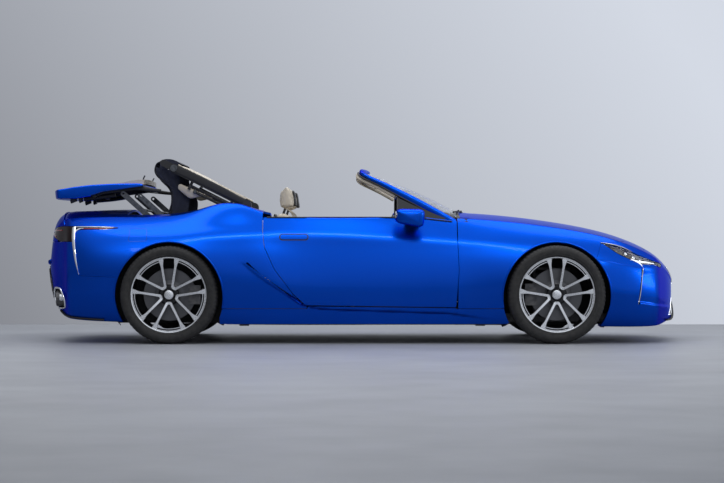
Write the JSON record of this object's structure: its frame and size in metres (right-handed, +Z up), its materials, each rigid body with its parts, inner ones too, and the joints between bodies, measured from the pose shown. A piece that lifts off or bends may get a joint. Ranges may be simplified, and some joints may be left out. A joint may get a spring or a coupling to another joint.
{
  "type": "convertible car",
  "caption": "Two-door convertible with its folding roof half way and the roof well's cover raised, with opening doors and bonnet, steering and turning wheels.",
  "frame": {"origin": "on the ground, under the middle of the overall length and width", "axes": "+X forward, +Y to the car's left, +Z up"},
  "size_m": [4.7698, 2.06, 1.377],
  "materials": {
    "paint": "gloss",
    "dark_structure": "satin",
    "glass": "gloss",
    "lamp_glass": "gloss",
    "red_glass": "gloss",
    "trim_black": "satin",
    "cream_leather": "satin",
    "roof_fabric": "matte",
    "tyre": "matte",
    "rim": "machined",
    "iron": "rough",
    "link": "satin"
  },
  "bodies": {
    "body": {"tub": "dark_structure", "wing_left": "paint", "wing_right": "paint", "quarter_left": "paint", "quarter_right": "paint", "front_bumper": "paint", "rear_bumper": "paint", "boot_lid": "paint", "grille": "trim_black", "headlamp_left": "lamp_glass", "headlamp_right": "lamp_glass", "tail_lamp_left": "red_glass", "tail_lamp_right": "red_glass", "windscreen_frame": "paint", "windscreen_glass": "glass", "dashboard": "trim_black", "console": "trim_black", "seat_left": "cream_leather", "seat_right": "cream_leather", "rear_seats": "cream_leather", "engine_block": "iron", "exhaust": "iron", "front_subframe": "dark_structure", "rear_subframe": "dark_structure"},
    "door_l": {"door_left": "paint", "mirror_left": "paint"},
    "door_r": {"door_right": "paint", "mirror_right": "paint"},
    "bonnet_lid": {"bonnet": "paint"},
    "steering": {"steering_wheel": "trim_black"},
    "hub_l": {"knuckle_left": "iron"},
    "hub_r": {"knuckle_right": "iron"},
    "wheel_fl": {"rim_front_left": "rim", "tyre_front_left": "tyre"},
    "wheel_fr": {"rim_front_right": "rim", "tyre_front_right": "tyre"},
    "wheel_rl": {"rim_rear_left": "rim", "tyre_rear_left": "tyre"},
    "wheel_rr": {"rim_rear_right": "rim", "tyre_rear_right": "tyre"},
    "roof_main": {"roof_rails": "link", "roof_drape": "roof_fabric"},
    "roof_fore": {"roof_front": "roof_fabric"},
    "cover_fore_link": {"cover_links_front": "link"},
    "cover_aft_link": {"cover_links_rear": "link"},
    "well_cover": {"cover": "paint"}
  },
  "joints": [
    {"name": "steer_left", "type": "hinge", "parent": "body", "child": "hub_l", "pos_m": [1.46, 0.765, 0.3645], "axis": [0, 0, 1], "range_deg": [-32, 32]},
    {"name": "steer_right", "type": "hinge", "parent": "body", "child": "hub_r", "pos_m": [1.46, -0.765, 0.3645], "axis": [0, 0, 1], "range_deg": [-32, 32]},
    {"name": "spin_front_left", "type": "hinge", "parent": "hub_l", "child": "wheel_fl", "pos_m": [1.46, 0.805, 0.3645], "axis": [0, 1, 0], "continuous": true},
    {"name": "spin_front_right", "type": "hinge", "parent": "hub_r", "child": "wheel_fr", "pos_m": [1.46, -0.805, 0.3645], "axis": [0, 1, 0], "continuous": true},
    {"name": "spin_rear_left", "type": "hinge", "parent": "body", "child": "wheel_rl", "pos_m": [-1.41, 0.8, 0.3635], "axis": [0, 1, 0], "continuous": true},
    {"name": "spin_rear_right", "type": "hinge", "parent": "body", "child": "wheel_rr", "pos_m": [-1.41, -0.8, 0.3635], "axis": [0, 1, 0], "continuous": true},
    {"name": "steering_wheel_turn", "type": "hinge", "parent": "body", "child": "steering", "pos_m": [0.195, 0.37, 0.795], "axis": [-0.9135, 0, 0.4067], "range_deg": [-420, 420]},
    {"name": "door_left_open", "type": "hinge", "parent": "body", "child": "door_l", "pos_m": [0.728, 0.922, 0.6], "axis": [0, 0, -1], "range_deg": [0, 62]},
    {"name": "door_right_open", "type": "hinge", "parent": "body", "child": "door_r", "pos_m": [0.728, -0.922, 0.6], "axis": [0, 0, 1], "range_deg": [0, 62]},
    {"name": "bonnet_open", "type": "hinge", "parent": "body", "child": "bonnet_lid", "pos_m": [0.822, 0, 0.985], "axis": [0, -1, 0], "range_deg": [0, 48]},
    {"name": "roof_swing", "type": "hinge", "parent": "body", "child": "roof_main", "pos_m": [-0.85, 0, 1.035], "axis": [0, 1, 0], "range_deg": [0, 123.9], "deforming": ["roof_drape"]},
    {"name": "roof_front_fold", "type": "hinge", "parent": "roof_main", "child": "roof_fore", "pos_m": [-1.40438, 0, 1.31261], "axis": [0, 1, 0], "range_deg": [-151, 1]},
    {"name": "cover_front_link_swing", "type": "hinge", "parent": "body", "child": "cover_fore_link", "pos_m": [-1.393, 0, 0.86], "axis": [0, 1, 0], "range_deg": [-1, 124]},
    {"name": "cover_rear_link_swing", "type": "hinge", "parent": "body", "child": "cover_aft_link", "pos_m": [-1.523, 0, 0.88], "axis": [0, 1, 0], "range_deg": [-1, 124]},
    {"name": "cover_level", "type": "hinge", "parent": "cover_fore_link", "child": "well_cover", "pos_m": [-1.66, 0, 1.1], "axis": [0, 1, 0], "range_deg": [-124, 1]}
  ],
  "couplings": [
    {"joint": "steer_right", "follows": "steer_left", "ratio": 1},
    {"joint": "steering_wheel_turn", "follows": "steer_left", "ratio": 13},
    {"joint": "roof_front_fold", "follows": "roof_swing", "ratio": -1.2147},
    {"joint": "cover_front_link_swing", "follows": "roof_swing", "ratio": 0.9968},
    {"joint": "cover_rear_link_swing", "follows": "roof_swing", "ratio": 0.9968},
    {"joint": "cover_level", "follows": "roof_swing", "ratio": -0.9968}
  ]
}
